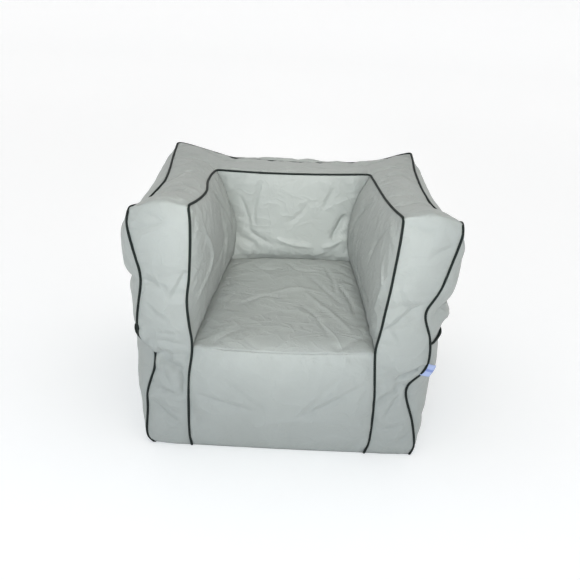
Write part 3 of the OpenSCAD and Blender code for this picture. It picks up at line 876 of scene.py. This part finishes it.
class Finish:
    """A material, built up node by node on one Principled shader."""

    def __init__(self, name, constants):
        self.material = bpy.data.materials.new(name)
        self.material.use_nodes = True
        self.tree = self.material.node_tree
        self.shader = self.tree.nodes["Principled BSDF"]
        for socket, value in constants.items():
            self.shader.inputs[socket].default_value = value

    def node(self, kind, settings=None, inputs=None, output=0):
        node = self.tree.nodes.new("ShaderNode" + kind)
        for key, value in (settings or {}).items():
            setattr(node, key, value)
        for key, value in (inputs or {}).items():
            feed(self.tree, node.inputs[key], value)
        return Signal(self.tree, node.outputs[output])

    def place(self):
        return self.node("TexCoord", output="Object")

    def stretched(self, place, scale, turn=(0, 0, 0)):
        return self.node("Mapping", {}, {"Vector": place, "Scale": scale, "Rotation": turn})

    def noise(self, place, scale, detail=2, roughness=.5, distortion=0):
        return self.node("TexNoise", {}, {"Vector": place, "Scale": scale, "Detail": detail,
                                          "Roughness": roughness, "Distortion": distortion})

    def folds(self, place, scale, sharpness, detail=2, distortion=.3):
        """Thin wandering ridges, as crumpled cloth has."""
        swell = self.noise(place, scale, detail, .5, distortion)
        return (1 - abs(swell * 2 - 1)) ** sharpness

    def cloth(self):
        """Metres along the threads both ways, from the piece's own map."""
        uv = self.node("UVMap", {"uv_map": "weave"})
        return uv, self.node("SeparateXYZ", {}, {0: uv}, "X"), self.node(
            "SeparateXYZ", {}, {0: uv}, "Y")

    def blend(self, share, first, second):
        return self.node("Mix", {"data_type": "RGBA"}, {0: share, 6: first, 7: second}, 2)

    def colour(self, signal):
        feed(self.tree, self.shader.inputs["Base Color"], signal)

    def roughness(self, signal):
        feed(self.tree, self.shader.inputs["Roughness"], signal)

    def bump(self, *layers):
        """Relief from (height, depth in metres, strength) layers, the broadest first."""
        below = {}
        for height, depth, strength in layers:
            normal = self.node("Bump", {}, {"Height": height, "Distance": depth,
                                            "Strength": strength, **below})
            below = {"Normal": normal}
        feed(self.tree, self.shader.inputs["Normal"], normal)


def weave(finish, across, along, pitch):
    """Plain weave: threads that pass over and under one another."""
    turn = math.pi / pitch
    return (across * turn).math("SINE") * (along * turn).math("SINE")


def cover_fabric():
    """Light grey woven polyester with a faint sheen, crumpled in use; its fold ridges carry a
    painted highlight.
    """
    finish = Finish("cover_fabric", {"Specular IOR Level": .50, "Sheen Weight": .08,
                                     "Sheen Roughness": .45})
    place = finish.place()
    uv, across, along = finish.cloth()
    threads = weave(finish, across, along, .0006)
    broad = finish.noise(place, 3.2, 3)
    slubs = finish.noise(finish.stretched(uv, (60, 900, 1)), 1, 2)
    slubs_across = finish.noise(finish.stretched(uv, (900, 60, 1)), 1, 2)
    ridges_and_painted_highlight = finish.folds(place, 5.5, 7, 2, .5)
    small = finish.folds(finish.stretched(place, (1, 1.5, 1.2), (.3, .5, .4)), 15, 6, 3, .6)
    crumple = finish.noise(place, 26, 5, .6, .3)
    warm, cool = (.300, .316, .294, 1), (.318, .340, .325, 1)
    tone = finish.blend(broad, warm, cool)
    grain = (slubs + slubs_across) * .5
    tone = finish.blend(grain * .30 - .06, tone, (.235, .253, .244, 1))
    # Painted highlight: the colour is lightened along the fold ridges, where they would catch the
    # light.
    tone = finish.blend(ridges_and_painted_highlight * .10, tone, (.41, .435, .42, 1))
    finish.colour(tone)
    finish.roughness(.52 + broad * .10 + grain * .12)
    finish.bump((ridges_and_painted_highlight + small * .5, .0048, .50), (crumple, .0017, .42),
                (grain, .0002, .30), (threads, .00012, .35))
    return finish.material


def piping_fabric():
    """Near black bias binding over a cord."""
    finish = Finish("piping_fabric", {"Specular IOR Level": .22})
    place = finish.place()
    ribs = finish.node("TexWave", {"bands_direction": "DIAGONAL"},
                       {"Vector": place, "Scale": 160, "Distortion": 2, "Detail": 2})
    worn = finish.noise(place, 40, 4)
    finish.colour(finish.blend(worn * .5 + ribs * .2, (.004, .007, .0055, 1),
                               (.014, .021, .018, 1)))
    finish.roughness(.60 + ribs * .2)
    finish.bump((worn, .0006, .4), (ribs, .0003, .5))
    return finish.material


def tape_fabric():
    finish = Finish("zip_tape", {"Specular IOR Level": .25})
    place = finish.place()
    ribs = finish.node("TexWave", {"bands_direction": "Z"},
                       {"Vector": place, "Scale": 260, "Distortion": .4})
    rows = finish.node("TexWave", {"bands_direction": "DIAGONAL"},
                       {"Vector": place, "Scale": 330, "Distortion": .6})
    finish.colour(finish.blend(ribs * .5 + rows * .3, (.008, .012, .013, 1),
                               (.022, .030, .032, 1)))
    finish.roughness(.65 + rows * .2)
    finish.bump((ribs, .0003, .5), (rows, .0002, .4))
    return finish.material


def teeth_nylon():
    finish = Finish("zip_teeth", {"Specular IOR Level": .5})
    place = finish.place()
    wear = finish.noise(place, 220, 3)
    finish.colour(finish.blend(wear, (.010, .012, .013, 1), (.030, .034, .036, 1)))
    finish.roughness(.32 + wear * .25)
    finish.bump((wear, .0001, .3))
    return finish.material


def plated_metal():
    finish = Finish("zip_metal", {"Metallic": 1})
    place = finish.place()
    scratches = finish.noise(finish.stretched(place, (1, 1, 9), (.4, .2, .6)), 420, 4)
    dull = finish.noise(place, 90, 3)
    finish.colour(finish.blend(dull, (.42, .43, .44, 1), (.60, .61, .62, 1)))
    finish.roughness(.24 + scratches * .22)
    finish.bump((scratches, .00005, .35))
    return finish.material


def label_satin(name, ground, stripe):
    """Woven satin ribbon, hemmed at its ends, with a plain stripe."""
    finish = Finish(name, {"Specular IOR Level": .5, "Sheen Weight": .2})
    place = finish.place()
    fine = finish.node("TexWave", {"bands_direction": "Z"},
                       {"Vector": place, "Scale": 420, "Distortion": .3})
    cloud = finish.noise(place, 120, 3)
    tone = finish.blend(cloud * .35, ground, tuple(.8 * c for c in ground[:3]) + (1,))
    if stripe:
        _, _, along = finish.cloth()
        edge = (along * 1000 + cloud * 3 - 19).math("ABSOLUTE") * -.35 + 1.9
        tone = finish.blend(edge.math("MAXIMUM", 0).math("MINIMUM", 1) * .8, tone, stripe)
    finish.colour(tone)
    finish.roughness(.38 + fine * .15)
    finish.bump((fine, .0001, .4), (cloud, .0004, .3))
    return finish.material


def liner_fabric():
    finish = Finish("liner_fabric", {"Specular IOR Level": .3})
    place = finish.place()
    fibres = finish.noise(finish.stretched(place, (1, 3, 1)), 300, 5, .7)
    dimples = finish.node("TexVoronoi", {}, {"Vector": place, "Scale": 400})
    finish.colour(finish.blend(fibres, (.70, .71, .70, 1), (.82, .82, .80, 1)))
    finish.roughness(.7 + fibres * .2)
    finish.bump((fibres, .0003, .4), (dimples, .0002, .4))
    return finish.material


def foam_beads():
    finish = Finish("beads", {"Specular IOR Level": .4, "Subsurface Weight": .1})
    place = finish.place()
    cells = finish.node("TexVoronoi", {}, {"Vector": place, "Scale": 230})
    # Painted shade: the colour is lightest at each bead's middle and darkens out to where beads
    # meet, the shade between them.
    finish.colour(finish.blend(cells, (.88, .88, .86, 1), (.62, .62, .60, 1)))
    finish.roughness(.5 + cells * .2)
    finish.bump((1 - cells, .003, .9))
    return finish.material


def floor_white():
    finish = Finish("floor_white", {"Roughness": .9, "Specular IOR Level": .1,
                                    "Base Color": (.92, .92, .92, 1),
                                    "Emission Color": (1, 1, 1, 1), "Emission Strength": .19})
    return finish.material


# ---- The whole chair, in order ----------------------------------------------------------
filled = refine(inflate(make_cage()))
draw_in(filled)
crease(filled)
cover = Cover(filled)
pieces = make_cover_pieces(cover)
pieces.update(make_piping(cover))
pieces.update(make_pocket(cover, "left", outer_front_left, outer_back_left))
pieces.update(make_pocket(cover, "right", outer_front_right, outer_back_right))
pieces["side_label"] = make_side_label(cover)
pieces.update(make_inside(cover))
pieces["zip_teeth_upper"] = make_teeth("zip_teeth_upper", True)
pieces["zip_teeth_lower"] = make_teeth("zip_teeth_lower", False)

finishes = {
    "cover_fabric": cover_fabric(), "piping_fabric": piping_fabric(),
    "zip_tape": tape_fabric(), "zip_teeth": teeth_nylon(), "zip_metal": plated_metal(),
    "side_label": label_satin("side_label", (.33, .40, .62, 1), (.12, .17, .42, 1)),
    "care_label": label_satin("care_label", (.78, .78, .75, 1), None),
    "liner_fabric": liner_fabric(), "beads": foam_beads(),
}
SLOTS = {"side_label": "side_label", "liner_walls": "liner_fabric", "bead_fill": "beads",
         "liner_base": "liner_fabric", "zip_teeth_upper": "zip_teeth",
         "zip_teeth_lower": "zip_teeth"}
for name, piece in pieces.items():
    slot = SLOTS.get(name, "piping_fabric" if "piping" in name else "cover_fabric")
    piece.data.materials.clear()
    piece.data.materials.append(finishes[slot])
    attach(piece, "cover")
    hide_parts(name)


def flat_size(*stack):
    """The flat cut of these panels, one above the other, with its seam allowances."""
    sizes = [panel_size(name) for name in stack]
    across = sum(width for width, _ in sizes) / len(sizes)
    return across + 2 * SEAM_ALLOWANCE, sum(up for _, up in sizes) + 2 * SEAM_ALLOWANCE


def declare_sheets():
    flats = {name: flat_size(name) for name in pieces if name in PANELS}
    for side in ("left", "right"):
        flats["arm_band_" + side] = flat_size("arm_front_" + side, "arm_top_" + side)
    width, height = flat_size("outer_back_panel")
    at_zip = (ZIP_LOW[2] + ZIP_HIGH[2]) / 2
    flats["outer_back_panel"] = width, height - at_zip
    flats["lower_back_panel"] = width, at_zip + SEAM_ALLOWANCE
    base = flats["base_panel"]
    2 * sum(base)


declare_sheets()
for name, slot in (("zip_tape_upper", "zip_tape"), ("zip_tape_lower", "zip_tape"),
                   ("zip_top_stops", "zip_metal"), ("zip_bottom_stop", "zip_metal"),
                   ("zip_slider", "zip_metal"), ("zip_pull", "zip_metal"),
                   ("care_label", "care_label")):
    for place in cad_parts[name].material_slots:
        place.material = finishes[slot]


# ---- Camera, light and floor ------------------------------------------------------------
def make_camera():
    tilt, turn, roll = math.radians(24.10), math.radians(-1.12), math.radians(3.50)
    back = Vector((math.sin(turn) * math.cos(tilt), -math.cos(turn) * math.cos(tilt),
                   math.sin(tilt)))
    right = Vector((0, 0, 1)).cross(back).normalized()
    up = back.cross(right)
    camera = bpy.data.objects.new("camera", bpy.data.cameras.new("camera"))
    bpy.context.scene.collection.objects.link(camera)
    turned = (right * math.cos(roll) + up * math.sin(roll),
              up * math.cos(roll) - right * math.sin(roll), back)
    camera.matrix_world = (Matrix.Translation((-.030, -1.871, 1.143))
                           @ Matrix(turned).transposed().to_4x4())
    camera.data.lens = 41.49
    camera.data.sensor_width = 36
    bpy.context.scene.camera = camera


def make_light(name, place, target, size, power, colour=(1, 1, 1), spread=180):
    lamp = bpy.data.lights.new(name, "AREA")
    lamp.shape = "DISK"
    lamp.size = size
    lamp.energy = power
    lamp.color = colour
    lamp.spread = math.radians(spread)
    light = bpy.data.objects.new(name, lamp)
    bpy.context.scene.collection.objects.link(light)
    light.location = place
    light.rotation_mode = "QUATERNION"
    light.rotation_quaternion = (Vector(target) - Vector(place)).to_track_quat("-Z", "Y")


def make_floor():
    """A studio floor that curves up into a plain wall far behind and all round."""
    bm = bmesh.new()
    outline = [(0, 0), (2, 0), (6, 0), (7.5, .3), (8.6, 1.2), (9, 2.5), (9, 5)]
    verts = [bm.verts.new((x, 0, z)) for x, z in outline]
    edges = [bm.edges.new(pair) for pair in zip(verts, verts[1:])]
    bmesh.ops.spin(bm, geom=verts + edges, axis=(0, 0, 1), steps=64, angle=2 * math.pi,
                   use_merge=True)
    bmesh.ops.remove_doubles(bm, verts=bm.verts, dist=.001)
    bmesh.ops.recalc_face_normals(bm, faces=bm.faces)
    mesh = from_bmesh("floor", bm)
    mesh.shade_smooth()
    floor = show("floor", mesh)
    return floor


make_camera()
make_light("key_light", (-.3, -3.2, 1.5), (0, 0, .3), 1.6, 24, (.62, .82, 1.06))
make_light("top_light", (0, -1.4, 2.6), (0, .1, .4), 1.6, 5, (.95, .85, .60))
make_light("upper_light", (0, -2.6, 1.35), (0, .08, .48), .5, 1.6, (1, 1, .97), 24)
make_floor().data.materials.append(floor_white())
world = bpy.data.worlds.new("studio")
world.use_nodes = True
world.node_tree.nodes["Background"].inputs["Color"].default_value = (1, 1, 1, 1)
world.node_tree.nodes["Background"].inputs["Strength"].default_value = .75
bpy.context.scene.world = world
bpy.context.scene.view_settings.view_transform = "Standard"
